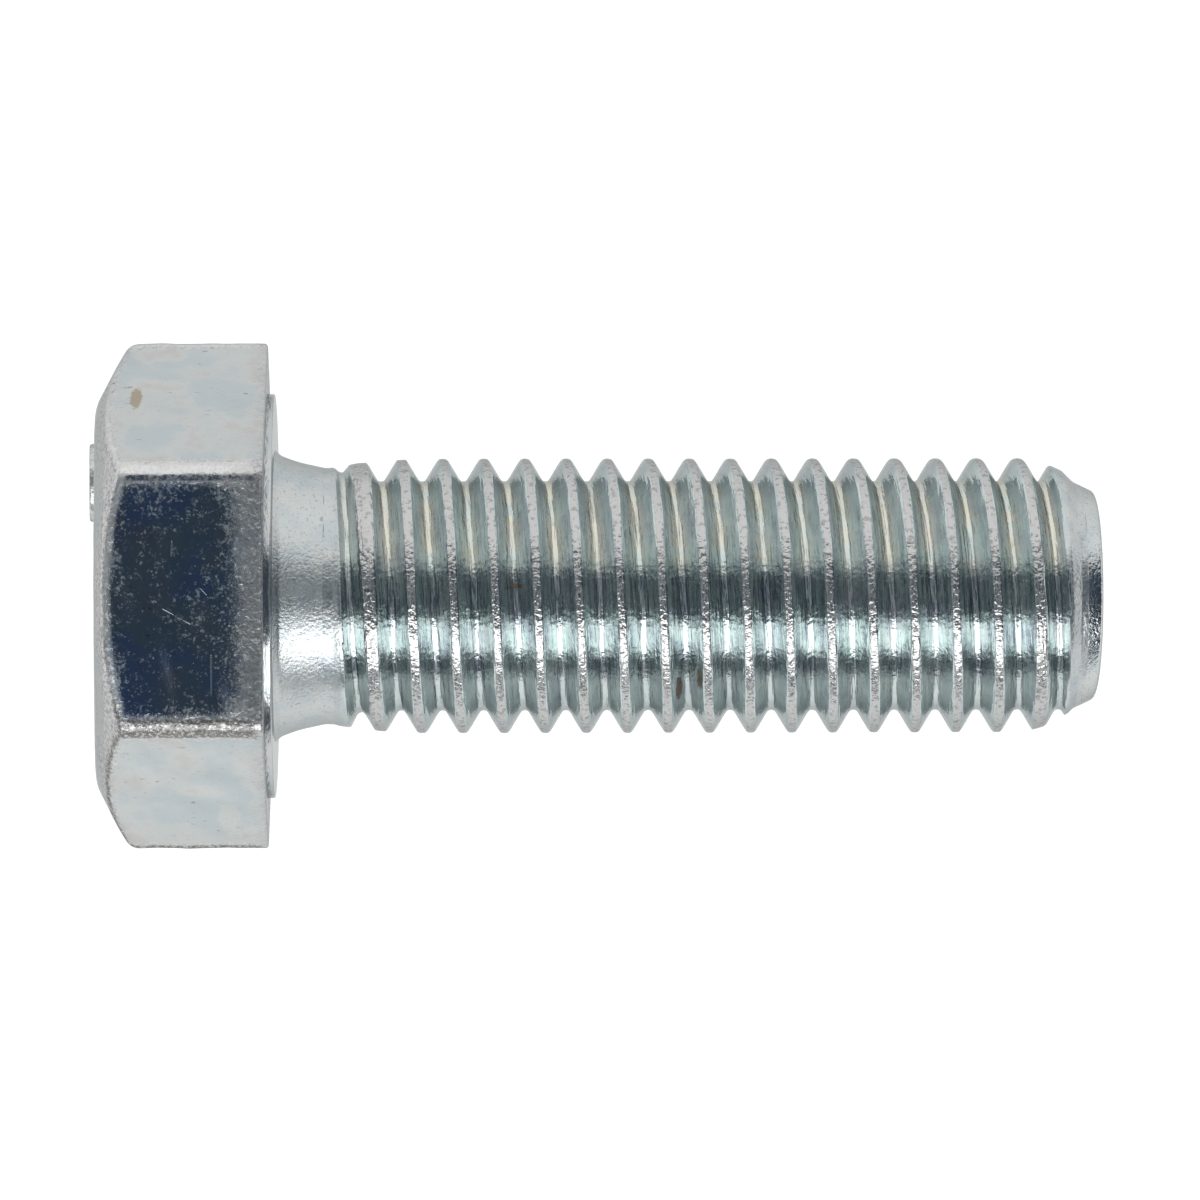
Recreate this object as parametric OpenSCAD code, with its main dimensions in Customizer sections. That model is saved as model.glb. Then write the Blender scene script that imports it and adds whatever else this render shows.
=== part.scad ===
// Hexagon-head screw, threaded along its whole shank with a right-hand coarse metric thread.
// The screw lies along +X. The origin is the centre of the bearing face under the head, the
// chamfered end points to +X, and two of the six flats face straight up and straight down.
// All sizes are in millimetres.
//
// The real screw is one cold-forged, thread-rolled piece of zinc-plated steel. The nodes are
// the named portions of that one forging, and each meets the next face to face.

/* [Head] */
// Width across the flats of the hexagon
across_flats = 18.8; // [15:0.1:24]
// Height of the hexagon, from its underside to its flat top
hex_h = 7.35; // [4:0.05:12]
// How much of each sharp corner the forging die rounds away, measured along the radius
corner_cut = 0.12; // [0.02:0.01:0.5]
// Distance from the flats in to the circle where the top chamfer starts
chamfer_inset = 1.55; // [0.5:0.05:3]
// Angle between the crowned chamfer and the flat top, where the chamfer starts
chamfer_angle = 23; // [15:0.5:35]

/* [Raised bar] */
// Width of the plain raised bar on the flat top
bar_w = 3.35; // [1:0.05:4]
// Length of the bar over its round ends
bar_l = 7.4; // [4.5:0.1:9]
// Height of the bar above the flat top
bar_h = 0.21; // [0.1:0.01:0.5]
// Distance from the chamfer circle in to the nearest side of the bar
bar_inset = 1.35; // [0.8:0.05:2]

/* [Washer face] */
// Thickness of the round washer face under the hexagon
washer_h = 0.3; // [0.1:0.05:1]
// Distance from the flats in to the edge of the washer face
washer_inset = 0.8; // [0.2:0.05:1.2]

/* [Neck] */
// Length of the plain neck, from the bearing face to the first trace of thread
neck_l = 2.1; // [1:0.1:6]
// How far the neck flares out, in radius, where it meets the bearing face
neck_flare = 0.7; // [0.2:0.05:1]

/* [Thread] */
// Outside diameter over the crests
major_d = 11.74; // [9:0.01:14.5]
// Distance from one crest to the next
pitch = 1.75; // [1.4:0.05:2.5]
// Angle between the two flanks of the groove
flank_angle = 60; // [50:1:70]
// Width of a crest
crest_w = 0.35; // [0.1:0.01:0.5]
// Width of the bottom of the groove
root_w = 0.2; // [0.1:0.01:0.4]
// How far the rolled crests rise above the plain neck, in radius
crest_rise = 0.49; // [0.2:0.01:0.6]
// Length over which the thread grows from nothing to its full depth
run_in = 1.9; // [0.5:0.1:5]
// Distance from the bearing face to where the crest line, carried back, crosses the +Y side
crest_start = 0.12; // [0:0.01:1.75]

/* [Point] */
// Length of the screw, from the bearing face to the end face
length = 34.9; // [20:0.1:55]
// Radial step from the bottom of the groove down to the edge of the end face
point_step = 0.43; // [0.2:0.01:1]
// Angle between the cone of the point and the axis
point_angle = 33; // [20:1:45]
// Rounding of the rim of the end face
rim_r = 0.2; // [0.05:0.05:0.3]

/* [Hidden] */

steel = [0.79, 0.81, 0.82];
bright_steel = [0.86, 0.88, 0.88];
thread_steel = [0.64, 0.70, 0.72];

// Sides of the circles, straight steps in a round corner, and columns of points round the thread
circle_sides = 96;
arc_steps = 8;
columns = 36;

// Head
hex_sides = 6;
half_side_angle = 180 / hex_sides;
sharp_corners_d = across_flats / cos(half_side_angle);
across_corners = sharp_corners_d - 2 * corner_cut;
chamfer_r = across_flats / 2 - chamfer_inset;
crown_r = chamfer_r / sin(chamfer_angle);
head_h = hex_h + washer_h;
bar_y = chamfer_r - bar_inset - bar_w / 2;
washer_r = across_flats / 2 - washer_inset;

// Shank
major_r = major_d / 2;
thread_depth = (pitch - crest_w - root_w) / (2 * tan(flank_angle / 2));
root_r = major_r - thread_depth;
neck_r = major_r - crest_rise;
neck_base_r = neck_r + neck_flare;
flare_r = (neck_l * neck_l + neck_flare * neck_flare) / (2 * neck_flare);
flare_turn = asin(neck_l / flare_r);

// Point: the thread ends where the cone of the point has come down to the bottom of the groove
end_r = root_r - point_step;
thread_end = length - point_step / tan(point_angle);
rim_centre_r = end_r - rim_r * (1 - sin(point_angle)) / cos(point_angle);

// Rows of points that run along the thread, four to each turn: the two edges of the crest and
// the two edges of the groove bottom. The crest line crosses the +Y side a quarter turn on
// from column 0, and the first rows lie at least a turn below the thread's start.
row_places = [-crest_w / 2, crest_w / 2, (pitch - root_w) / 2, (pitch + root_w) / 2];
rows_per_turn = len(row_places);
crest_rows = 2;
column_0_turn = -1 / 4;
first_turn = floor((neck_l - crest_start) / pitch) - 2;
turns = ceil((thread_end - neck_l) / pitch) + 4;
rows = turns * rows_per_turn;

// Height along the axis of row k in column i, before the two ends are trimmed flat
function row_z(i, k) =
    crest_start
    + pitch * (first_turn + column_0_turn + floor(k / rows_per_turn) + i / columns)
    + row_places[k % rows_per_turn];

// The last row at or below the thread's start, and the first row at or past its end
first_row = [for (i = [0 : columns - 1])
    max([for (k = [0 : rows - 1]) if (row_z(i, k) <= neck_l) k])];
last_row = [for (i = [0 : columns - 1])
    min([for (k = [0 : rows - 1]) if (row_z(i, k) >= thread_end) k])];

// Share of the full thread depth reached at height z
function grown(z) = min(1, max(0, (z - neck_l) / run_in));

// Radius of the cone of the point at height z
function cone_r(z) = end_r + (length - z) * tan(point_angle);

// Radius of the thread at height z, on a crest row or on a row at the bottom of the groove
function thread_r(z, k) =
    let (move = k % rows_per_turn < crest_rows ? crest_rise : crest_rise - thread_depth)
    min(cone_r(z), neck_r + grown(z) * move);

function thread_point(i, k) =
    let (z = min(thread_end, max(neck_l, row_z(i, k))), r = thread_r(z, k), a = 360 * i / columns)
    [r * cos(a), r * sin(a), z];

// Number of the point at row k of column i. Past the last column the rows carry on one turn
// further up in column 0, and rows outside the trimmed length fall on its first or last point.
function thread_index(i, k) =
    let (column = i % columns, row = i == columns ? k + rows_per_turn : k)
    column * rows + min(last_row[column], max(first_row[column], row));

// A triangle, or nothing where two of its corners are the same point
function triangle(a, b, c) = a == b || b == c || c == a ? [] : [[a, b, c]];

// Points along an arc, as radius and height, between two angles measured from the radius
function arc(centre, r, from, to) = [for (s = [0 : arc_steps])
    let (a = from + (to - from) * s / arc_steps)
    centre + r * [cos(a), sin(a)]];

// Turns a shape built upright on +Z so that it points along +X
module along_x() rotate([0, 90, 0]) children();

// Hexagon with its corners rounded by the die. Its top chamfer is slightly crowned, part of a
// sphere that passes through the chamfer circle.
module hex_head() {
    color(steel)
    along_x()
    translate([0, 0, -head_h])
    intersection() {
        rotate(half_side_angle) cylinder(d = sharp_corners_d, h = hex_h, $fn = hex_sides);
        cylinder(d = across_corners, h = hex_h, $fn = circle_sides);
        translate([0, 0, crown_r * cos(chamfer_angle)]) sphere(r = crown_r, $fn = circle_sides);
    }
}

// Plain bar with round ends that stands on the flat top of the head
module raised_bar() {
    half_span = (bar_l - bar_w) / 2;
    color(bright_steel)
    along_x()
    translate([0, bar_y, -head_h - bar_h])
    linear_extrude(bar_h) {
        square([2 * half_span, bar_w], center = true);
        for (side = [-1, 1]) translate([side * half_span, 0]) circle(d = bar_w, $fn = circle_sides);
    }
}

// Round raised face under the hexagon, a ring that carries the clamping load
module washer_face() {
    color(bright_steel)
    along_x()
    translate([0, 0, -washer_h])
    linear_extrude(washer_h)
    difference() {
        circle(r = washer_r, $fn = circle_sides);
        circle(r = neck_base_r, $fn = circle_sides);
    }
}

// Plain neck: passes through the washer face to the hexagon, and flares into it in a hollow arc
module neck() {
    color(steel)
    along_x()
    rotate_extrude($fn = circle_sides)
    polygon(concat(
        [[0, neck_l], [0, -washer_h], [neck_base_r, -washer_h]],
        arc([neck_r + flare_r, neck_l], flare_r, 180 + flare_turn, 180)));
}

// Rolled thread: grows out of the neck, runs at full depth and is cut off by the point's cone
module thread() {
    points = [for (i = [0 : columns - 1]) for (k = [0 : rows - 1]) thread_point(i, k)];
    sides = [for (i = [0 : columns - 1]) for (k = [0 : rows - 2])
        each concat(
            triangle(thread_index(i, k), thread_index(i, k + 1), thread_index(i + 1, k + 1)),
            triangle(thread_index(i, k), thread_index(i + 1, k + 1), thread_index(i + 1, k)))];
    start_face = [for (i = [0 : columns - 1]) thread_index(i, 0)];
    end_face = [for (i = [columns - 1 : -1 : 0]) thread_index(i, rows - 1)];
    color(thread_steel)
    along_x()
    polyhedron(points, concat(sides, [start_face, end_face]), convexity = 10);
}

// Plain cone at the end of the screw, with a rounded rim and a flat end face
module point() {
    color(steel)
    along_x()
    rotate_extrude($fn = circle_sides)
    polygon(concat(
        [[0, length], [0, thread_end], [root_r, thread_end]],
        arc([rim_centre_r, length - rim_r], rim_r, point_angle, 90)));
}

hex_head();
raised_bar();
washer_face();
neck();
thread();
point();
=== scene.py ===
"""Looks of a zinc-plated hexagon-head screw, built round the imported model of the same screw.

The screw lies along +X with two of its flats level. Each piece is a surface worked out from two
parameters: a place along a profile, and a turn about the screw's axis, from +Y towards +Z.
Lengths are in millimetres here and become metres as a surface is made into a mesh.
"""

import bmesh
import bpy
import numpy as np
from mathutils import Matrix, Vector


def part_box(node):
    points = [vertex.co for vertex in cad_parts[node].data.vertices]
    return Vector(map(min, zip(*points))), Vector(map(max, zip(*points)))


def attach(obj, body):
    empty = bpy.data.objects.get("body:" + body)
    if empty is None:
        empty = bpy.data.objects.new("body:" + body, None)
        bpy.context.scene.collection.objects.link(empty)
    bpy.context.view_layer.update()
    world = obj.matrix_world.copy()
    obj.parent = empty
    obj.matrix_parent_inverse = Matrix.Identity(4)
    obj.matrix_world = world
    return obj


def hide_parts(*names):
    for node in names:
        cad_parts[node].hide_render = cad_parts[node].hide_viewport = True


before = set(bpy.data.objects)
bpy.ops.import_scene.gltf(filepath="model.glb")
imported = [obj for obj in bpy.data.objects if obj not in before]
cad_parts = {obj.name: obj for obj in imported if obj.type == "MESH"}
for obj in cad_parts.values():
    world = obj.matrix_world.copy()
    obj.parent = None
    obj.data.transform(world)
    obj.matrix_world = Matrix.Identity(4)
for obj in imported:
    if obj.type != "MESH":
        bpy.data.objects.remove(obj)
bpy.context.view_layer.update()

MM = 0.001
FULL_TURN = 2 * np.pi


def box_mm(node):
    """Lowest and highest corner of a CAD node, in millimetres."""
    low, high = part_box(node)
    return np.array(low) / MM, np.array(high) / MM


# ---------------------------------------------------------------- sizes, taken from the frame

HEAD_LOW, HEAD_HIGH = box_mm("hex_head")
BAR_LOW, BAR_HIGH = box_mm("raised_bar")
WASHER_LOW, WASHER_HIGH = box_mm("washer_face")
_, NECK_HIGH = box_mm("neck")
_, THREAD_HIGH = box_mm("thread")
_, POINT_HIGH = box_mm("point")

HEX_TOP = HEAD_LOW[0]
HEX_UNDERSIDE = HEAD_HIGH[0]
FLAT_RADIUS = HEAD_HIGH[2]
WASHER_RADIUS = WASHER_HIGH[1]
NECK_BASE_RADIUS = NECK_HIGH[1]
NECK_END = NECK_HIGH[0]
CREST_RADIUS = THREAD_HIGH[1]
THREAD_END = THREAD_HIGH[0]
ROOT_RADIUS = POINT_HIGH[1]
END_FACE = POINT_HIGH[0]

# Thread form: pitch, flat of the crest, half angle of the groove, where the crest line,
# carried back towards the head, crosses the +Y side, and how far the crests rise past the neck
PITCH = 1.75
CREST_FLAT = 0.35
HALF_GROOVE_ANGLE = np.radians(30)
CREST_START = 0.12
CREST_RISE = 0.41
NECK_RADIUS = CREST_RADIUS - CREST_RISE

# How deep one piece reaches into the next, so that no gap shows between them
OVERLAP = 0.05


# ---------------------------------------------------------------- camera

# What the camera looks at, how far off and how far to one side it stands, and how it is turned
TARGET = np.array([14.0, 0.0, 0.0])
CAMERA_DISTANCE = 275.66
CAMERA_SIDESTEP = (-0.182, -0.181)
CAMERA_SPIN = np.radians(1.0)
CAMERA_TILT = np.radians(1.484)
CAMERA_ROLL = np.radians(0.07)
SENSOR_WIDTH = 36
LENS = 194.0
# Nearest and farthest distance seen, in metres
NEAREST_SEEN = 0.01
FARTHEST_SEEN = 50


def add_camera():
    """Long lens straight above the screw. Its axes are the world's, turned by spin, tilt, roll."""
    turn = (Matrix.Rotation(-CAMERA_SPIN, 3, "X")
            @ Matrix.Rotation(-CAMERA_TILT, 3, "Y")
            @ Matrix.Rotation(-CAMERA_ROLL, 3, "Z"))
    place = Vector(TARGET) + turn @ Vector((*CAMERA_SIDESTEP, CAMERA_DISTANCE))
    data = bpy.data.cameras.new("camera")
    data.lens = LENS
    data.sensor_width = SENSOR_WIDTH
    data.clip_start = NEAREST_SEEN
    data.clip_end = FARTHEST_SEEN
    camera = bpy.data.objects.new("camera", data)
    camera.matrix_world = Matrix.Translation(place * MM) @ turn.to_4x4()
    bpy.context.scene.collection.objects.link(camera)
    bpy.context.scene.camera = camera


# ---------------------------------------------------------------- meshes

# Distance in metres below which two points become one, and angle above which an edge is sharp
WELD = 1e-7
SHARP_ANGLE = np.radians(55)


def solid(name, points, **marks):
    """Mesh over a grid of points, rows by columns by 3. The grid closes where its points fall
    together: at a pole, and where the last column repeats the first. marks are named numbers,
    one for each point, that a material can read."""
    rows, columns = points.shape[:2]
    index = np.arange(rows * columns).reshape(rows, columns)
    quads = np.stack([index[:-1, :-1], index[:-1, 1:], index[1:, 1:], index[1:, :-1]], axis=-1)
    mesh = bpy.data.meshes.new(name)
    mesh.from_pydata((points.reshape(-1, 3) * MM).tolist(), [], quads.reshape(-1, 4).tolist())
    for mark, values in marks.items():
        layer = mesh.attributes.new(mark, "FLOAT", "POINT")
        layer.data.foreach_set("value", values.astype(np.float32).ravel())
    form = bmesh.new()
    form.from_mesh(mesh)
    bmesh.ops.remove_doubles(form, verts=form.verts, dist=WELD)
    form.to_mesh(mesh)
    form.free()
    mesh.shade_smooth()
    mesh.set_sharp_from_angle(angle=SHARP_ANGLE)
    piece = bpy.data.objects.new(name, mesh)
    bpy.context.scene.collection.objects.link(piece)
    return piece


def round_axis(x, radius, turn):
    """Points at height x along the axis, at a radius and a turn about it."""
    x, radius, turn = np.broadcast_arrays(x, radius, turn)
    return np.stack([x, radius * np.cos(turn), radius * np.sin(turn)], axis=-1)


def soft_path(corners, cuts, run_steps=8, bend_steps=6):
    """Path through a list of corners, each an array whose last axis is (x, radius). Every inner
    corner becomes a parabola that leaves the straight line one cut before the corner and
    rejoins it one cut after: (1-s)^2 enter + 2s(1-s) corner + s^2 leave."""
    bend = np.linspace(0, 1, bend_steps + 1)[1:]
    run = np.linspace(0, 1, run_steps + 1)[1:]
    at = corners[0]
    path = [at]
    for before, corner, after, cut in zip(corners, corners[1:], corners[2:], cuts):
        back = before - corner
        on = after - corner
        enter = corner + back * cut / np.linalg.norm(back, axis=-1, keepdims=True)
        leave = corner + on * cut / np.linalg.norm(on, axis=-1, keepdims=True)
        path += [at + (enter - at) * s for s in run]
        path += [(1 - s) ** 2 * enter + 2 * s * (1 - s) * corner + s ** 2 * leave for s in bend]
        at = leave
    path += [at + (corners[-1] - at) * s for s in run]
    return np.array(path)


def soft_min(a, b, blend):
    """The smaller of two values, rounded off over about one blend where they cross."""
    return (a + b - np.sqrt((a - b) ** 2 + blend ** 2)) / 2


def rise(value, start, length):
    """0 up to the start, 1 from one length past it, and a straight rise between."""
    return np.clip((value - start) / length, 0, 1)


def fall(value, end, length):
    """1 until one length before the end, 0 past it, and a straight fall between."""
    return np.clip((end - value) / length, 0, 1)


# Radius at which a ripple is as fine round the axis as along it
RIPPLE_RADIUS = 8


def ripple(x, turn, seed, size, waves=24, finest=3.0):
    """Unevenness of a worked surface: a sum of sine waves along the axis and round it, whole
    numbers of waves to the turn, whose typical height is one size. finest is how fast they
    change, in radians to the millimetre."""
    draw = np.random.default_rng(seed)
    most = int(RIPPLE_RADIUS * finest)
    total = 0
    for _ in range(waves):
        along = draw.normal(0, finest)
        around = draw.integers(-most, most + 1)
        total = total + np.sin(along * x + around * turn + draw.uniform(0, FULL_TURN))
    return size * total * np.sqrt(2 / waves)


# ---------------------------------------------------------------- head

HEX_SIDES = 6
SIDE_TURN = FULL_TURN / HEX_SIDES
# Radius that rounds the corners of the hexagon, distance from the flats in to the circle where
# the chamfer starts, and slope of the chamfer
CORNER_ROUND = 0.75
CHAMFER_INSET = 1.4
CHAMFER_SLOPE = np.tan(np.radians(28))
CHAMFER_RADIUS = FLAT_RADIUS - CHAMFER_INSET
# Slope at which the top leans, and the depth over which the lean fades out
TOP_LEAN = 0.04
LEAN_DEPTH = 0.75
# How far the rounding reaches from the chamfer circle, the chamfer's foot and the underside
HEAD_CUTS = (0.55, 0.4, 0.16)
# Unevenness of the forging: its height, its share along the axis, the width over which it fades
# out on the flat top, and the height above the underside where it stops
HEAD_SEED = 3
HEAD_RIPPLE = 0.013
RIPPLE_ALONG = 0.5
RIPPLE_FADE = 1.0
RIPPLE_STOP = 0.05


def hexagon(flat_steps=48, corner_steps=14):
    """Turn and radius along the outline of the hexagon, and the distance from the nearest corner.
    Each flat is followed by an arc of SIDE_TURN about a centre that lies CORNER_ROUND inside
    the outline."""
    centre = (FLAT_RADIUS - CORNER_ROUND) / np.cos(SIDE_TURN / 2)
    half_flat = (FLAT_RADIUS - CORNER_ROUND) * np.tan(SIDE_TURN / 2)
    along = np.linspace(-half_flat, half_flat, flat_steps + 1)[:-1]
    bend = np.linspace(0, SIDE_TURN, corner_steps + 1)[:-1]
    corner = centre * np.exp(0.5j * SIDE_TURN) + CORNER_ROUND * np.exp(1j * bend)
    side = np.concatenate([FLAT_RADIUS + 1j * along, corner])
    outline = np.concatenate([side * np.exp(1j * SIDE_TURN * (n + 0.5)) for n in range(HEX_SIDES)])
    from_corner = np.concatenate([half_flat - np.abs(along), 0 * bend])
    from_corner = np.tile(from_corner, HEX_SIDES)
    wrap = np.arange(len(outline) + 1) % len(outline)
    return np.angle(outline[wrap]), np.abs(outline[wrap]), from_corner[wrap]


def chamfer_height(radius):
    """Height along the axis of the chamfer, a cone round the flat top."""
    return HEX_TOP + (radius - CHAMFER_RADIUS) * CHAMFER_SLOPE


def lean(x, z):
    """The die left the top a little out of square: it rises with z, by less and less down the
    chamfer."""
    return x + TOP_LEAN * z * fall(x, HEX_TOP + LEAN_DEPTH, LEAN_DEPTH)


def make_head():
    """Each column is a half section of the head: flat top, chamfer, side, underside. Only the
    radius of the side changes from column to column, with the outline of the hexagon. The
    marks are the distances from the nearest edge of a flat and from the underside."""
    turn, side, from_corner = hexagon()

    def corner(x, radius):
        return np.stack(np.broadcast_arrays(x, radius, turn), axis=-1)[:, :2]

    edge = chamfer_height(side)
    corners = [corner(HEX_TOP, 0), corner(HEX_TOP, CHAMFER_RADIUS), corner(edge, side),
               corner(HEX_UNDERSIDE, side), corner(HEX_UNDERSIDE, 0)]
    path = soft_path(corners, HEAD_CUTS, run_steps=30, bend_steps=9)
    x, radius = path[..., 0], path[..., 1]
    uneven = ripple(x, turn, seed=HEAD_SEED, size=HEAD_RIPPLE)
    uneven = uneven * rise(radius, CHAMFER_RADIUS - RIPPLE_FADE, RIPPLE_FADE)
    uneven = uneven * (x < HEX_UNDERSIDE - RIPPLE_STOP)
    points = round_axis(x - RIPPLE_ALONG * uneven, radius + uneven, turn)
    points[..., 0] = lean(points[..., 0], points[..., 2])
    border = np.minimum(x - edge, from_corner)
    foot = HEX_UNDERSIDE - x
    return solid("head", points, border=border, foot=foot)


# How far the rounding reaches from the bar's top edge and its foot, how much narrower its top
# is, and how far, as a share of its half width, it counts as lying past a worn edge
BAR_CUTS = (0.09, 0.02)
BAR_DRAFT = 0.05
BAR_WEAR = 0.35
BAR_BEND_POINTS = 25


def make_bar():
    """A bar with round ends and soft edges. Its profile runs from the foot over the top edge to
    the middle line, and is carried round an outline of two half circles, one half span
    either side of the middle."""
    half_width = (BAR_HIGH[1] - BAR_LOW[1]) / 2
    half_span = (BAR_HIGH[2] - BAR_LOW[2]) / 2 - half_width
    centre = (BAR_HIGH[1] + BAR_LOW[1]) / 2
    foot = HEX_TOP + OVERLAP
    top = BAR_LOW[0]
    corners = [(top, 0), (top, half_width - BAR_DRAFT), (foot, half_width), (foot, 0)]
    path = soft_path([np.array(c) for c in corners], BAR_CUTS)
    bend = np.linspace(0, np.pi, BAR_BEND_POINTS)
    outline = np.concatenate([np.exp(1j * bend), -np.exp(1j * bend), [1]])
    shift = half_span * np.concatenate([np.ones_like(bend), -np.ones_like(bend), [1]])
    x, reach = path[:, :1], path[:, 1:]
    y = centre + reach * outline.real
    z = reach * outline.imag + shift
    x = x + TOP_LEAN * z
    points = np.stack(np.broadcast_arrays(x, y, z), axis=-1)
    border = np.full(points.shape[:2], -BAR_WEAR * half_width)
    foot_mark = np.full(points.shape[:2], half_width + HEX_UNDERSIDE - top)
    return solid("raised_bar_skin", points, border=border, foot=foot_mark)


# ---------------------------------------------------------------- washer face, neck and point

SHANK_COLUMNS = 144
# How far the rounding reaches from each inner corner of a profile. A seam stays nearly sharp.
SEAM_CUT = 0.001
WASHER_CUTS = (0.01, 0.02, 0.09)
NECK_CUTS = (0.02, 0.02, 0.12, 0.4, SEAM_CUT)
POINT_CUTS = (SEAM_CUT, 0.1, 0.12)
# Flare of the neck: how far its foot spreads past the part inside the washer face, and then the
# places along the axis and the radii where it bends
FLARE_FOOT = 0.14
FLARE_BENDS = [(0.25, 5.98), (0.95, 5.71)]


def turned(name, corners, cuts):
    """A profile of (x, radius) corners, with soft bends, carried round the axis."""
    path = soft_path([np.array(corner) for corner in corners], cuts)
    turn = np.linspace(0, FULL_TURN, SHANK_COLUMNS + 1)
    return solid(name, round_axis(path[:, :1], path[:, 1:], turn))


def make_washer():
    """Flat ring with a soft outer edge, open in the middle for the neck."""
    bore = NECK_BASE_RADIUS - 2 * OVERLAP
    back = HEX_UNDERSIDE - OVERLAP
    rim = WASHER_RADIUS
    corners = [(0.0, bore), (back, bore), (back, rim), (0.0, rim), (0.0, bore)]
    return turned("washer_ring", corners, WASHER_CUTS)


def make_neck():
    """Plain neck that sweeps out into the bearing face."""
    inside = WASHER_LOW[0]
    base = NECK_BASE_RADIUS
    corners = [(inside, 0), (inside, base), (0.0, base + FLARE_FOOT), *FLARE_BENDS,
               (NECK_END, NECK_RADIUS), (NECK_END, 0)]
    return turned("neck_skin", corners, NECK_CUTS)


# Edge of the point: places along the axis and their radius, from the last full crest down to
# the end face. The thread is trimmed to it, and the point follows its last stretch.
POINT_EDGE = np.array([(31.6, 5.90), (32.47, 5.70), (33.1, 5.50), (33.47, 5.33), (33.95, 4.86),
                       (34.80, 4.46), (END_FACE, 4.27)])


def point_edge(x):
    """Radius of the point's edge at height x."""
    return np.interp(x, POINT_EDGE[:, 0], POINT_EDGE[:, 1])


def make_point():
    """Blunt cone that ends the screw, with a round rim."""
    corners = [(THREAD_END, 0), (THREAD_END, point_edge(THREAD_END)), POINT_EDGE[-2],
               POINT_EDGE[-1], (END_FACE, 0)]
    return turned("point_skin", corners, POINT_CUTS)


# ---------------------------------------------------------------- thread

THREAD_COLUMNS = 120
# Whole turns of rows kept below the thread's start and above its end
TURNS_BELOW = 2
TURNS_ABOVE = 1
# Rows from the middle of a crest to the root: the stretches end a little before and past the
# crest's edge, then where the root begins, and each has its own number of rows
BEFORE_EDGE = 0.04
PAST_EDGE = 0.06
ROOT_BAND = 0.16
ROW_COUNTS = (3, 5, 4, 6)
# Length over which the groove grows to full depth, and where and how fast the crests grow
RUN_IN_LENGTH = 1.75
CREST_GROWTH_START = 2.5
CREST_GROWTH = 1.65
# Width over which a crest's edges are rounded, on the full thread and where it is cut low
CREST_EDGE = 0.13
LOW_CREST_EDGE = 0.02
# Unevenness of the crests
THREAD_SEED = 11
THREAD_RIPPLE = 0.012
THREAD_FINEST = 4
# Marks: depth below the crest line and width round the crest that count as torn crest, where
# the tears begin and end along the axis, and the width of the root
CREST_DEPTH = 0.03
CREST_MARGIN = 0.01
CREST_FADE = 0.06
TEARS_START = 2.9
TEARS_START_FADE = 0.4
TEARS_END = 33.0
TEARS_END_FADE = 0.5
ROOT_WIDTH = 0.3
# Marks: where the neck's satin ends on the first turn, where the trimmed tip takes it up, and
# how far inside the edge of the point a place may lie and still count as trimmed
SATIN_END = 3.1
SATIN_START = 33
SATIN_FADE = 0.4
TRIM_DEPTH = 0.06
TRIM_FADE = 0.04
# How far the round bottom of the groove lies outside the flat one of the CAD
ROOT_LIFT = 0.06
FLANK_SLOPE = 1 / np.tan(HALF_GROOVE_ANGLE)
FLANKS_MEET = CREST_RADIUS - (PITCH - CREST_FLAT) / 2 * FLANK_SLOPE
ROLLED_ROOT = ROOT_RADIUS + ROOT_LIFT
ROOT_ROUND = ROLLED_ROOT - FLANKS_MEET


def thread_profile(offset):
    """Radius of the full thread at a distance along the axis from the middle of a crest: a flat
    crest, straight flanks, and at the root a circle of radius ROOT_ROUND that touches both."""
    from_root = PITCH / 2 - np.abs(offset)
    flank = FLANKS_MEET + from_root * FLANK_SLOPE
    in_circle = np.clip(from_root / ROOT_ROUND, 0, np.cos(HALF_GROOVE_ANGLE))
    circle = ROLLED_ROOT + ROOT_ROUND * (1 - np.sqrt(1 - in_circle ** 2))
    touching = from_root < ROOT_ROUND * np.cos(HALF_GROOVE_ANGLE)
    return soft_min(np.where(touching, circle, flank), CREST_RADIUS, CREST_EDGE)


def row_offsets():
    """Rows of points over one pitch, close together round the crest's edges and the root."""
    half = PITCH / 2
    edge = CREST_FLAT / 2
    stops = [0, edge - BEFORE_EDGE, edge + PAST_EDGE, half - ROOT_BAND, half]
    side = np.concatenate([np.linspace(low, high, count + 1)[:-1]
                           for low, high, count in zip(stops, stops[1:], ROW_COUNTS)])
    return np.concatenate([[-half], -side[:0:-1], side])


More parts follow.
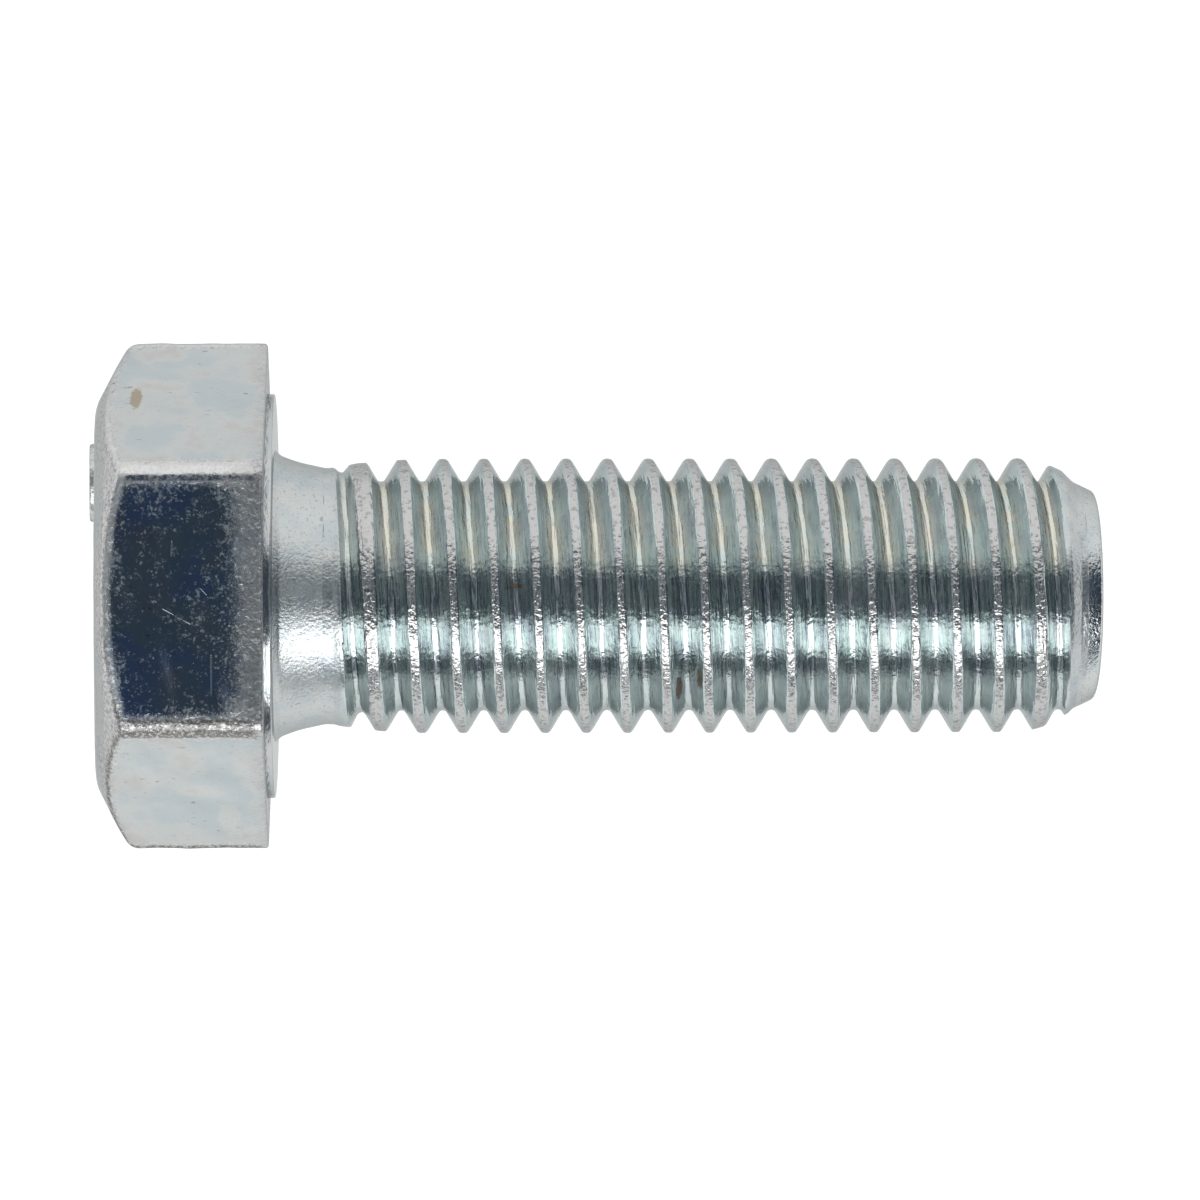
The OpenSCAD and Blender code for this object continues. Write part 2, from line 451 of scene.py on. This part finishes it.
def make_thread():
    """Row by row the surface keeps a fixed distance along the axis from the crest line, which
    climbs one pitch in a turn. Near the head the groove is shallow and the crest low, and
    both grow to full size. Near the end the edge of the point trims the crests. Rows below
    the start and beyond the end close up into two flat end faces. The marks say how far a
    place is torn crest, root, or plain satin like the neck and the point."""
    offset = row_offsets()
    first = int(np.floor((NECK_END - CREST_START) / PITCH)) - TURNS_BELOW
    last = int(np.ceil((THREAD_END - CREST_START) / PITCH)) + TURNS_ABOVE
    turns = np.arange(first, last + 1)
    turn = np.linspace(0, FULL_TURN, THREAD_COLUMNS + 1)
    base = CREST_START + PITCH * turns[:, None] + offset[None, :]
    x = base.reshape(-1, 1) + PITCH * turn / FULL_TURN
    offset = np.tile(offset, len(turns))[:, None]
    grown = rise(x, NECK_END, RUN_IN_LENGTH)
    groove = thread_profile(offset) + (NECK_RADIUS - ROOT_RADIUS) * (1 - grown)
    growing = np.clip(x - CREST_GROWTH_START, 0, None) / CREST_GROWTH
    crest = NECK_RADIUS + (CREST_RADIUS - NECK_RADIUS) * (1 - np.exp(-growing))
    uneven = ripple(x, turn, seed=THREAD_SEED, size=THREAD_RIPPLE, finest=THREAD_FINEST)
    cap = np.minimum(crest, point_edge(x)) + uneven
    radius = soft_min(groove, cap, LOW_CREST_EDGE)
    on_crest = np.maximum(fall(cap - radius, CREST_DEPTH, CREST_DEPTH),
                          fall(np.abs(offset), CREST_FLAT / 2 + CREST_MARGIN, CREST_FADE))
    on_crest *= rise(x, TEARS_START, TEARS_START_FADE) * fall(x, TEARS_END, TEARS_END_FADE)
    in_root = fall(PITCH / 2 - np.abs(offset), ROOT_WIDTH, ROOT_WIDTH) * grown
    below = x <= NECK_END
    beyond = x >= THREAD_END
    start_ring = below & ~np.roll(below, -1, axis=0)
    end_ring = beyond & ~np.roll(beyond, 1, axis=0)
    radius = np.where(below | beyond, 0, radius)
    radius = np.where(start_ring, NECK_RADIUS, radius)
    radius = np.where(end_ring, point_edge(THREAD_END), radius)
    x = np.clip(x, NECK_END, THREAD_END)
    trimmed = fall(point_edge(x) - radius, TRIM_DEPTH, TRIM_FADE)
    trimmed = trimmed * rise(x, SATIN_START, SATIN_FADE)
    plain = np.maximum(fall(x, SATIN_END, SATIN_FADE), trimmed)
    return solid("thread_skin", round_axis(x, radius, turn), crest=on_crest, root=in_root,
                 plain=plain)


# ---------------------------------------------------------------- materials

# Places of the sockets for colour on a Mix node, whose sockets share their names
MIX_FACTOR = 0
MIX_FIRST = 6
MIX_SECOND = 7
MIX_COLOR = 2

# An oval spot: how ragged its edge is, and the distances, in spots, where it ends and is full
SPOT_RAGGED = 1.2
SPOT_EDGE = (1.1, 0.75)

# Middle level of a noise
MIDDLE = 0.5


class Socket:
    """An output socket of a node. Arithmetic on it adds the Math nodes that work it out."""

    def __init__(self, finish, output):
        self.finish = finish
        self.output = output

    def math(self, operation, *values):
        return self.finish.node("ShaderNodeMath", {"operation": operation}, values)

    def __add__(self, other):
        return self.math("ADD", self, other)

    def __sub__(self, other):
        return self.math("SUBTRACT", self, other)

    def __mul__(self, other):
        return self.math("MULTIPLY", self, other)

    def __truediv__(self, other):
        return self.math("DIVIDE", self, other)

    def __radd__(self, other):
        return self.math("ADD", other, self)

    def __rsub__(self, other):
        return self.math("SUBTRACT", other, self)

    def __rmul__(self, other):
        return self.math("MULTIPLY", other, self)

    def size(self):
        """Without its sign."""
        return self.math("ABSOLUTE", self)

    def fract(self):
        """What is left after the whole number."""
        return self.math("FRACT", self)

    def clamp(self, low=0, high=1):
        """Held between two values."""
        return self.math("MINIMUM", self.math("MAXIMUM", self, low), high)

    def smooth(self, low, high):
        """0 below low, 1 above high, and a smooth step between."""
        settings = {"interpolation_type": "SMOOTHSTEP"}
        return self.finish.node("ShaderNodeMapRange", settings, [self, low, high, 0, 1])


class Finish:
    """A material, or the world, as a tree of nodes."""

    def __init__(self, owner):
        owner.use_nodes = True
        self.owner = owner
        self.tree = owner.node_tree
        self.tree.nodes.clear()

    def node(self, kind, settings=None, inputs=(), output=0):
        """Adds a node, makes its settings, then fills its inputs, which are listed in order or
        named. Numbers and colours are set on the sockets, and sockets are linked to them."""
        node = self.tree.nodes.new(kind)
        for key, value in (settings or {}).items():
            setattr(node, key, value)
        named = inputs.items() if isinstance(inputs, dict) else enumerate(inputs)
        for key, value in named:
            if isinstance(value, Socket):
                self.tree.links.new(value.output, node.inputs[key])
            else:
                node.inputs[key].default_value = value
        return Socket(self, node.outputs[output]) if node.outputs else None

    def split(self, vector):
        """The x, y and z of a vector."""
        first = self.node("ShaderNodeSeparateXYZ", {}, [vector])
        return [Socket(self, output) for output in first.output.node.outputs]

    def vector(self, x, y, z):
        """A vector made of three values."""
        return self.node("ShaderNodeCombineXYZ", {}, [x, y, z])

    def stretch(self, vector, scale, shift=(0, 0, 0)):
        """A vector times one scale for each axis, then shifted."""
        return self.node("ShaderNodeVectorMath", {"operation": "MULTIPLY_ADD"},
                         [vector, scale, shift])

    def blend(self, factor, first, second):
        """Colour that goes from first to second as factor goes from 0 to 1."""
        settings = {"data_type": "RGBA", "clamp_factor": True}
        inputs = {MIX_FACTOR: factor, MIX_FIRST: first, MIX_SECOND: second}
        return self.node("ShaderNodeMix", settings, inputs, output=MIX_COLOR)

    def mark(self, name):
        """A number kept at each point of the piece's mesh."""
        return self.node("ShaderNodeAttribute", {"attribute_name": name}, output="Fac")

    def distance(self, vector, point, size=(1, 1, 1)):
        """Distance from a point, each axis counted in its own size."""
        scale = [1 / s for s in size]
        shift = [-p / s for p, s in zip(point, size)]
        return self.node("ShaderNodeVectorMath", {"operation": "LENGTH"},
                         [self.stretch(vector, scale, shift)], output="Value")

    def spot(self, vector, point, size, ragged):
        """An oval spot, 1 inside and 0 outside, whose edge follows a noise."""
        away = self.distance(vector, point, size) + SPOT_RAGGED * (ragged - MIDDLE)
        return away.smooth(*SPOT_EDGE)

    def streak(self, vector, start, end, width):
        """A straight line, 1 along its middle and 0 beyond its width: distance from the nearest
        point of the line from start to end."""
        run = end - start
        length = np.linalg.norm(run)
        from_start = self.stretch(vector, (1, 1, 1), tuple(-start))
        along = self.node("ShaderNodeVectorMath", {"operation": "DOT_PRODUCT"},
                          [from_start, tuple(run / length)], output="Value")
        along = along.clamp(0, length)
        apart = self.distance(vector, start)
        squared = apart * apart - along * along
        return squared.math("MAXIMUM", squared, 0).smooth(width ** 2, 0)

    def noise(self, vector, scale=1.0, detail=2.0, roughness=0.5):
        """Cloudy noise, about 0 to 1, with scale clouds to the millimetre."""
        inputs = {"Vector": vector, "Scale": scale, "Detail": detail, "Roughness": roughness}
        return self.node("ShaderNodeTexNoise", {}, inputs)

    def bump(self, height, unit):
        """Normal of a surface with relief, whose height is counted in units of so many mm."""
        inputs = {"Strength": 1.0, "Distance": unit * MM, "Height": height}
        return self.node("ShaderNodeBump", {}, inputs)

    def metal(self, color, roughness, normal):
        """Bare metal surface that darkens towards grazing view, and the end of a material."""
        shader = self.node("ShaderNodeBsdfPrincipled", {}, {
            "Metallic": 1.0, "Base Color": color, "Roughness": roughness, "Normal": normal,
            "Specular Tint": GRAZING_TINT})
        self.node("ShaderNodeOutputMaterial", {}, [shader])
        return self.owner


# Colours, as linear red, green and blue: what the metal keeps of its shine at a grazing angle,
# then the platings, bare metal that also serves as painted highlight, a painted blue reflection,
# and dirt that also serves as painted shade
GRAZING_TINT = (0.50, 0.52, 0.52, 1)
ZINC = (0.53, 0.55, 0.545, 1)
BLUE_ZINC = (0.47, 0.515, 0.535, 1)
GREY_ZINC = (0.51, 0.505, 0.495, 1)
STREAK_DARK = (0.34, 0.39, 0.40, 1)
SATIN_ZINC = (0.54, 0.56, 0.555, 1)
THREAD_ZINC = (0.54, 0.605, 0.595, 1)
TORN_ZINC = (0.50, 0.505, 0.50, 1)
YELLOW_ZINC = (0.68, 0.65, 0.54, 1)
# Bare metal, also used as painted highlight on the thread
BARE_METAL_AND_HIGHLIGHT = (0.66, 0.655, 0.645, 1)
# Painted reflection: a dark blue laid on the flat that faces up
PAINTED_BLUE_REFLECTION = (0.22, 0.36, 0.80, 1)
# Dirt, also used as painted shade on the corner lines of the -Y side
GRIME_AND_SHADE = (0.20, 0.19, 0.18, 1)
STAIN = (0.33, 0.26, 0.17, 1)
RUST = (0.16, 0.10, 0.06, 1)


def start_finish(name):
    """A new material, and the place on the piece in millimetres."""
    finish = Finish(bpy.data.materials.new(name))
    place = finish.node("ShaderNodeTexCoord", output="Object")
    return finish, finish.stretch(place, (1 / MM, 1 / MM, 1 / MM))


# In the finishes below, a pair of numbers is a fade, from where a mark is nothing to where it is
# full: in millimetres from an edge or along an axis, or as two levels of a noise. A share is
# how strongly a colour covers the one under it, and a height is counted in units of relief.

# Scratches on the flat that faces up: start and end along X and Y, and width
SCRATCHES = (((-5.34, 0.15), (-3.28, -1.0), 0.02), ((-2.42, -2.3), (-2.42, -3.95), 0.035),
             ((-4.03, 2.4), (-4.05, 1.8), 0.025), ((-3.6, 1.2), (-2.6, 0.2), 0.01))


def scratches(finish, place):
    """Fine straight scratches on the flat that faces up."""
    total = 0
    for start, end, width in SCRATCHES:
        start, end = (np.array([*point, FLAT_RADIUS]) for point in (start, end))
        total = total + finish.streak(place, start, end, width)
    return total


# Height along Z of the flat that faces up
FACING_UP = (8.9, 9.3)
# Worn borders and the sheared strip along the foot, how ragged they are, and the fine noise's
# part in that
FINE_RAGGED = 0.6
WEAR_EDGE = (0.34, 0.04)
WEAR_RAGGED = 1.1
WEAR_ON_TOP = 0.2
TOP_EDGE = (-1.3, -0.1)
SHEAR_EDGE = (1.50, 0.50)
SHEAR_RAGGED = 3.0
SHEAR_HELD_BACK = 0.75
SHEAR_ELSEWHERE = 0.6
SHEAR_ROUGH = 0.85
# Dull specks, which crowd towards the edges
SPECKS = (0.50, 0.80)
SPECK_CLUSTERS = 1.1
SPECK_PATCHES = 0.3
CROWDING = 0.10
CROWD_BORDER = (1.2, 0.2)
CROWD_FOOT = (2.4, 1.0)
# Lines along the corners of the hexagon: polished on the +Y side and darkened with painted shade
# on the -Y side
CORNER_LINE = (0.15, 0.02)
CORNER_BELOW_CHAMFER = (-0.2, -0.02)
CORNER_ABOVE_FOOT = (0.1, 0.6)
HIGH_SIDE = (3.5, 4.8)
LOW_SIDE = (-3.5, -4.8)
CORNER_POLISH = 0.75
# Colour of the plating, and the painted blue reflection on the flat that faces up
TINT_SHIFT = (9, 4, 2)
BLUE_TINT = (0.42, 0.62)
GREY_TINT = (0.44, 0.34)
GREY_SHARE = 0.9
REFLECTION_PAINT_SHIFT = (4, 7, 1)
REFLECTION_PAINT_FADE = (0.46, 0.66)
REFLECTION_PAINT_SHARE = 0.4
WEAR_SHARE = 0.8
# Dirt in the rough places, painted shade on the corner lines of the -Y side, and dirt in short
# ticks along the screw and in pits
DIRT = (0.44, 0.62)
DIRT_SHARE = 0.65
CORNER_SHADE = (0.32, 0.54)
CORNER_SHADE_SHARE = 0.9
TICK_SCALE = (1.6, 4.5, 4.5)
TICKS = (0.68, 0.74)
TICK_SHARE = 0.65
PITS = (0.66, 0.74)
PIT_SHARE = 0.4
# A brown stain near the chamfer on a flat of the +Y side, and a faint yellow one on the -Y side
STAIN_PLACE = (-5.72, 8.36, 4.32)
STAIN_SIZE = (0.26, 0.66, 1.14)
STAIN_SHARE = 0.75
FAINT_PLACE = (-1.9, -9.2, 2.6)
FAINT_SIZE = (0.5, 1.2, 1.6)
FAINT_SHARE = 0.25
# Roughness of the mirror film and what each mark adds to it, heights of the relief, and its unit
FILM_ROUGHNESS = 0.10
WORN_ROUGHNESS = 0.28
SPECK_ROUGHNESS = 0.26
SCORED_ROUGHNESS = 0.05
DENT_HEIGHT = 1.1
GRAIN_HEIGHT = 0.08
SCORED_DEPTH = 0.08
FORGED_RELIEF = 0.05


def forged_zinc():
    """Plated forging: a smooth mirror plating with dull specks that crowd towards the edges, worn
    borders, a sheared strip along the foot of the flats, a few stains and scratches, a painted
    blue reflection on the flat that faces up, and painted shade on the corner lines of the -Y
    side.
    Each edge is the distance from it, made ragged by a noise, then faded."""
    finish, place = start_finish("forged_zinc")
    _, y, z = finish.split(place)
    border = finish.mark("border")
    foot = finish.mark("foot")
    patches = finish.noise(place, scale=0.45, detail=3)
    coarse = finish.noise(place, scale=2.6, detail=5, roughness=0.75)
    fine = finish.noise(place, scale=7, detail=3, roughness=0.7)
    ragged = coarse - MIDDLE + FINE_RAGGED * (fine - MIDDLE)
    facing_up = z.smooth(*FACING_UP)

    on_top = WEAR_ON_TOP + (1 - WEAR_ON_TOP) * border.smooth(*TOP_EDGE)
    worn = (border + WEAR_RAGGED * ragged).smooth(*WEAR_EDGE) * on_top
    held_back = SHEAR_HELD_BACK * (1 - facing_up)
    sheared = (foot + SHEAR_RAGGED * ragged + held_back).smooth(*SHEAR_EDGE)
    sheared = sheared * (SHEAR_ELSEWHERE + (1 - SHEAR_ELSEWHERE) * facing_up)
    crowd = CROWDING * border.smooth(*CROWD_BORDER) + CROWDING * foot.smooth(*CROWD_FOOT)
    clusters = SPECK_CLUSTERS * (coarse - MIDDLE) + SPECK_PATCHES * (patches - MIDDLE)
    specks = (fine + clusters + crowd).smooth(*SPECKS)
    corner = border.smooth(*CORNER_LINE) * border.smooth(*CORNER_BELOW_CHAMFER)
    corner = corner * foot.smooth(*CORNER_ABOVE_FOOT)
    high_corner = corner * y.smooth(*HIGH_SIDE)
    shaded_corner = corner * y.smooth(*LOW_SIDE)
    rough = (worn + SHEAR_ROUGH * sheared).clamp() * (1 - CORNER_POLISH * high_corner)

    tint = finish.noise(finish.stretch(place, (1, 1, 1), TINT_SHIFT), scale=0.5, detail=3)
    color = finish.blend(tint.smooth(*BLUE_TINT), ZINC, BLUE_ZINC)
    color = finish.blend(GREY_SHARE * tint.smooth(*GREY_TINT), color, GREY_ZINC)
    # Painted reflection: clouds of dark blue on the flat that faces up, kept off the specks
    reflection_cloud = finish.noise(finish.stretch(place, (1, 1, 1), REFLECTION_PAINT_SHIFT), scale=0.4, detail=3)
    painted_reflection = facing_up * reflection_cloud.smooth(*REFLECTION_PAINT_FADE) * (1 - specks)
    color = finish.blend(REFLECTION_PAINT_SHARE * painted_reflection, color, PAINTED_BLUE_REFLECTION)
    color = finish.blend(WEAR_SHARE * worn, color, BARE_METAL_AND_HIGHLIGHT)
    color = finish.blend(WEAR_SHARE * sheared, color, TORN_ZINC)
    color = finish.blend(DIRT_SHARE * rough * fine.smooth(*DIRT), color, GRIME_AND_SHADE)
    # Painted shade: the corner lines of the -Y side darkened
    color = finish.blend(CORNER_SHADE_SHARE * shaded_corner * fine.smooth(*CORNER_SHADE), color, GRIME_AND_SHADE)
    ticks = finish.noise(finish.stretch(place, TICK_SCALE), detail=3).smooth(*TICKS)
    color = finish.blend(TICK_SHARE * ticks + PIT_SHARE * fine.smooth(*PITS), color, GRIME_AND_SHADE)
    stain = finish.spot(place, STAIN_PLACE, STAIN_SIZE, fine)
    color = finish.blend(STAIN_SHARE * stain, color, STAIN)
    faint = finish.spot(place, FAINT_PLACE, FAINT_SIZE, coarse)
    color = finish.blend(FAINT_SHARE * faint, color, YELLOW_ZINC)

    scored = scratches(finish, place)
    roughness = FILM_ROUGHNESS + WORN_ROUGHNESS * rough
    roughness = roughness + SPECK_ROUGHNESS * specks * (1 - rough) + SCORED_ROUGHNESS * scored
    dents = finish.noise(place, scale=4)
    relief = DENT_HEIGHT * rough * (dents - MIDDLE) + GRAIN_HEIGHT * fine - SCORED_DEPTH * scored
    return finish.metal(color, roughness, finish.bump(relief, FORGED_RELIEF))


# Marks of the punch: their noise, their colour, and their roughness and relief
PUNCH_SCALE = (7, 2.5, 2.5)
PUNCH_TINT = (0.35, 0.65)
PRESSED_ROUGHNESS = 0.12
PUNCH_ROUGHNESS = 0.15
PRESSED_RELIEF = 0.02


def pressed_zinc():
    """Face of the washer ring, with faint marks from the punch: a noise that is finer along the
    axis than across it."""
    finish, place = start_finish("pressed_zinc")
    grain = finish.noise(finish.stretch(place, PUNCH_SCALE), detail=3)
    color = finish.blend(grain.smooth(*PUNCH_TINT), GREY_ZINC, BLUE_ZINC)
    roughness = PRESSED_ROUGHNESS + PUNCH_ROUGHNESS * grain
    return finish.metal(color, roughness, finish.bump(grain, PRESSED_RELIEF))


# Satin plating: its colour, pits and speckle, its roughness and relief
SATIN_TINT = (0.4, 0.7)
SATIN_PITS = (0.70, 0.74)
SATIN_PIT_SHARE = 0.5
SATIN_SPECKLE = (0.58, 0.70)
SATIN_SPECKLE_SHARE = 0.4
SATIN_ROUGHNESS = 0.23
SATIN_GRAIN_ROUGHNESS = 0.20
SATIN_RELIEF = 0.023
# The rim of the end face, along X, and how much smoother it is
RIM = (33.9, 34.5)
RIM_POLISH = 0.16


def satin(finish, place):
    """Colour, roughness and relief of the satin plating with its fine speckle."""
    grain = finish.noise(place, scale=7.5)
    cloud = finish.noise(place, scale=0.9)
    pits = finish.noise(place, scale=3.2).smooth(*SATIN_PITS)
    color = finish.blend(cloud.smooth(*SATIN_TINT), SATIN_ZINC, BLUE_ZINC)
    speckle = finish.noise(place, scale=8).smooth(*SATIN_SPECKLE)
    dirt = (SATIN_PIT_SHARE * pits + SATIN_SPECKLE_SHARE * speckle).clamp()
    color = finish.blend(dirt, color, GRIME_AND_SHADE)
    return color, SATIN_ROUGHNESS + SATIN_GRAIN_ROUGHNESS * grain, grain


def drawn_zinc():
    """Satin plating on the neck and the point, smoother round the rim of the end face."""
    finish, place = start_finish("drawn_zinc")
    color, roughness, grain = satin(finish, place)
    x, _, _ = finish.split(place)
    roughness = roughness - RIM_POLISH * x.smooth(*RIM)
    return finish.metal(color, roughness, finish.bump(grain, SATIN_RELIEF))


# Fine lines along the helix: how fast their noise changes across one pitch and along each axis
LINES_ACROSS = 12
LINES_ALONG_X = 0.4
LINES_ALONG_YZ = 0.5
# Dashes that are partly bare metal and partly painted highlight: anywhere on the lines, more so
# in the root, and in a band beside it
DASHES = (0.58, 0.68)
DASH_ON_FLANK = 0.4
BESIDE_ROOT = 0.45
BESIDE_ROOT_BAND = (0.16, 0.04)
BESIDE_ROOT_DASHES = (0.45, 0.55)
BESIDE_ROOT_SHARE = 0.8
DASH_AND_HIGHLIGHT_SHARE = 0.7
# Torn crests
TORN_RAGGED = 0.9
TORN_EDGE = (0.40, 0.62)
TORN_DIRT = (0.54, 0.66)
TORN_DIRT_SHARE = 0.5
# Colour of the flanks, and the yellow film in the roots of the +Y side
FLANK_TINT = (0.4, 0.65)
YELLOW_SIDE = (0.5, 2.0)
YELLOW = (0.3, 0.55)
STREAKS = (0.44, 0.34)
STREAK_SHARE = 0.4
# Roughness of the flanks and what each mark adds to it, heights of the relief, and its unit
FLANK_ROUGHNESS = 0.12
LINE_ROUGHNESS = 0.07
DASH_ROUGHNESS = 0.12
YELLOW_ROUGHNESS = 0.12
CREST_ROUGHNESS = 0.07
LINE_HEIGHT = 0.8
FLANK_HEIGHT = 0.26
TEAR_HEIGHT = 0.55
SATIN_HEIGHT = 0.29
ROLLED_RELIEF = 0.08
# Rust: place and size of each spot, long in Z so that it reaches through the surface
RUST_SPOTS = (((17.05, -3.8, 3.6), (0.15, 0.6, 2.5)), ((10.18, 0.49, 5.0), (0.18, 0.13, 1.5)))
RUST_SHARE = 0.85
RUST_ROUGHNESS = 0.3


def rolled_zinc():
    """Rolled thread: bright flanks with fine lines along the helix, dashes on them that are partly
    bare metal and partly painted highlight, a yellow tint in some of the roots, rough torn crests
    and a little rust. The two ends carry the satin of the neck and the point. The lines are a
    noise over x / pitch - turns, which is constant along a helix."""
    finish, place = start_finish("rolled_zinc")
    x, y, z = finish.split(place)
    turns = y.math("ARCTAN2", z, y) / FULL_TURN
    phase = (x / PITCH - turns).fract()
    along = finish.vector(phase * LINES_ACROSS, y * LINES_ALONG_YZ + x * LINES_ALONG_X,
                          z * LINES_ALONG_YZ)
    lines = finish.noise(along)
    crest = finish.mark("crest")
    root = finish.mark("root")
    plain = finish.mark("plain")
    torn = finish.noise(place, scale=5)
    cloud = finish.noise(place, scale=0.8, detail=3)
    # Painted highlight: a dashed light band along each edge of the root
    root_edge_highlight = (root - BESIDE_ROOT).size().smooth(*BESIDE_ROOT_BAND)
    dashes_and_highlights = lines.smooth(*DASHES) * (DASH_ON_FLANK + (1 - DASH_ON_FLANK) * root)
    dashes_and_highlights = dashes_and_highlights + BESIDE_ROOT_SHARE * root_edge_highlight * lines.smooth(*BESIDE_ROOT_DASHES)
    dashes_and_highlights = dashes_and_highlights.clamp()
    on_crest = (crest + TORN_RAGGED * (torn - MIDDLE)).smooth(*TORN_EDGE)

    color = finish.blend(cloud.smooth(*FLANK_TINT), THREAD_ZINC, BLUE_ZINC)
    yellow = root * y.smooth(*YELLOW_SIDE) * cloud.smooth(*YELLOW)
    color = finish.blend(yellow, color, YELLOW_ZINC)
    color = finish.blend(STREAK_SHARE * lines.smooth(*STREAKS), color, STREAK_DARK)
    # Partly bare metal and partly painted highlight: the dashes and the band beside the root are
    # lightened
    color = finish.blend(DASH_AND_HIGHLIGHT_SHARE * dashes_and_highlights, color, BARE_METAL_AND_HIGHLIGHT)
    color = finish.blend(on_crest, color, TORN_ZINC)
    color = finish.blend(TORN_DIRT_SHARE * on_crest * torn.smooth(*TORN_DIRT), color, GRIME_AND_SHADE)
    roughness = FLANK_ROUGHNESS + LINE_ROUGHNESS * lines + DASH_ROUGHNESS * dashes_and_highlights
    roughness = roughness + YELLOW_ROUGHNESS * yellow + CREST_ROUGHNESS * on_crest
    relief = LINE_HEIGHT * lines + FLANK_HEIGHT * torn
    relief = relief + TEAR_HEIGHT * on_crest * (torn - MIDDLE)

    satin_color, satin_roughness, grain = satin(finish, place)
    color = finish.blend(plain, color, satin_color)
    roughness = roughness + plain * (satin_roughness - roughness)
    relief = relief + plain * (SATIN_HEIGHT * grain - relief)
    rust = 0
    for spot_place, spot_size in RUST_SPOTS:
        rust = rust + finish.spot(place, spot_place, spot_size, torn)
    rust = rust.clamp()
    color = finish.blend(RUST_SHARE * rust, color, RUST)
    roughness = roughness + RUST_ROUGHNESS * rust
    return finish.metal(color, roughness, finish.bump(relief, ROLLED_RELIEF))


# ---------------------------------------------------------------- studio

# Light from each part of the studio
PALE = (1.0, 1.0, 1.0, 1)
WALL = (1.15, 1.15, 1.15, 1)
SIDE_ROOM = (0.28, 0.31, 0.33, 1)
DARK_OPENING = (0.040, 0.06, 0.090, 1)
# Edges of the light, as fades over one part of the direction: of the room overhead against
# the wall on either side, and of the dark opening across it and beyond the point
WALL_EDGE = (0.52, 0.38)
LOW_WALL_EDGE = (-0.995, -0.98)
OPENING_EDGE = (0.32, 0.14)
POINT_OPENING_EDGE = (0.68, 0.80)


def add_world():
    """Soft studio: pale walls to both sides, a dimmer room overhead with a dark opening across
    its middle and another beyond the point, and plain pale surroundings for the camera."""
    world = bpy.data.worlds.new("studio")
    bpy.context.scene.world = world
    finish = Finish(world)
    x, y, _ = finish.split(finish.node("ShaderNodeTexCoord", output="Generated"))
    overhead = y.smooth(*WALL_EDGE) * y.smooth(*LOW_WALL_EDGE)
    opening = x.size().smooth(*OPENING_EDGE) + x.smooth(*POINT_OPENING_EDGE)
    light = finish.blend(overhead, WALL, finish.blend(opening, SIDE_ROOM, DARK_OPENING))
    camera_ray = finish.node("ShaderNodeLightPath", output="Is Camera Ray")
    seen = finish.node("ShaderNodeBackground", {}, [PALE, 1.0])
    lit = finish.node("ShaderNodeBackground", {}, [light, 1.0])
    shader = finish.node("ShaderNodeMixShader", {}, [camera_ray, lit, seen])
    finish.node("ShaderNodeOutputWorld", {}, [shader])


# Distance and height of the softbox, seen from the screw, its two sides, and its brightness
SOFTBOX_DISTANCE = 600
SOFTBOX_HEIGHT = np.radians(46.5)
SOFTBOX_SIZE = (1300, 355)
SOFTBOX_RADIANCE = 2.9


def add_softbox():
    """Long light on the -Y side, above the table."""
    data = bpy.data.lights.new("softbox", "AREA")
    data.shape = "RECTANGLE"
    data.size, data.size_y = (side * MM for side in SOFTBOX_SIZE)
    data.energy = SOFTBOX_RADIANCE * np.pi * data.size * data.size_y
    light = bpy.data.objects.new("softbox", data)
    place = Vector((0, -np.cos(SOFTBOX_HEIGHT), np.sin(SOFTBOX_HEIGHT))) * SOFTBOX_DISTANCE
    turn = (-place).to_track_quat("-Z", "Y").to_matrix().to_4x4()
    light.matrix_world = Matrix.Translation((place + Vector(TARGET)) * MM) @ turn
    bpy.context.scene.collection.objects.link(light)


# The floor: half its side, the gap under the lowest flat, its paint, and its own light, which
# fades across Y
FLOOR_REACH = 2500
FLOOR_GAP = 0.05
FLOOR_PAINT = (0.08, 0.08, 0.08, 1)
FAR_GLOW = (0.88, 0.88, 0.88, 1)
GLOW_STRENGTH = 1.12
GLOW_EDGE = (60, -60)


def add_floor():
    """Pale table under the screw, lit from inside so that it stays even, a little brighter on
    the -Y side. Its four corners are one quad, listed so that it faces up."""
    level = HEAD_LOW[2] - FLOOR_GAP
    far, near = FLOOR_REACH, -FLOOR_REACH
    grid = np.array([[(far, near, level), (far, far, level)],
                     [(near, near, level), (near, far, level)]], float)
    floor = solid("floor", grid)
    finish, place = start_finish("pale_table")
    _, y, _ = finish.split(place)
    shader = finish.node("ShaderNodeBsdfPrincipled", {}, {
        "Base Color": FLOOR_PAINT, "Roughness": 1.0, "Specular IOR Level": 0.0,
        "Emission Color": finish.blend(y.smooth(*GLOW_EDGE), FAR_GLOW, PALE),
        "Emission Strength": GLOW_STRENGTH})
    finish.node("ShaderNodeOutputMaterial", {}, [shader])
    floor.data.materials.append(finish.owner)


# ---------------------------------------------------------------- assembly

add_camera()

PIECES = (
    (make_head, "hex_head", "forged_head", forged_zinc),
    (make_bar, "raised_bar", "forged_head", forged_zinc),
    (make_washer, "washer_face", "pressed_face", pressed_zinc),
    (make_neck, "neck", "drawn_shank", drawn_zinc),
    (make_thread, "thread", "rolled_thread", rolled_zinc),
    (make_point, "point", "drawn_shank", drawn_zinc),
)

finishes = {make: make() for make in dict.fromkeys(make for *_, make in PIECES)}
for make_piece, node, slot, make_finish in PIECES:
    piece = make_piece()
    piece.data.materials.append(finishes[make_finish])
    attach(piece, "root")
    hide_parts(node)

add_world()
add_softbox()
add_floor()
bpy.context.scene.view_settings.view_transform = "Standard"
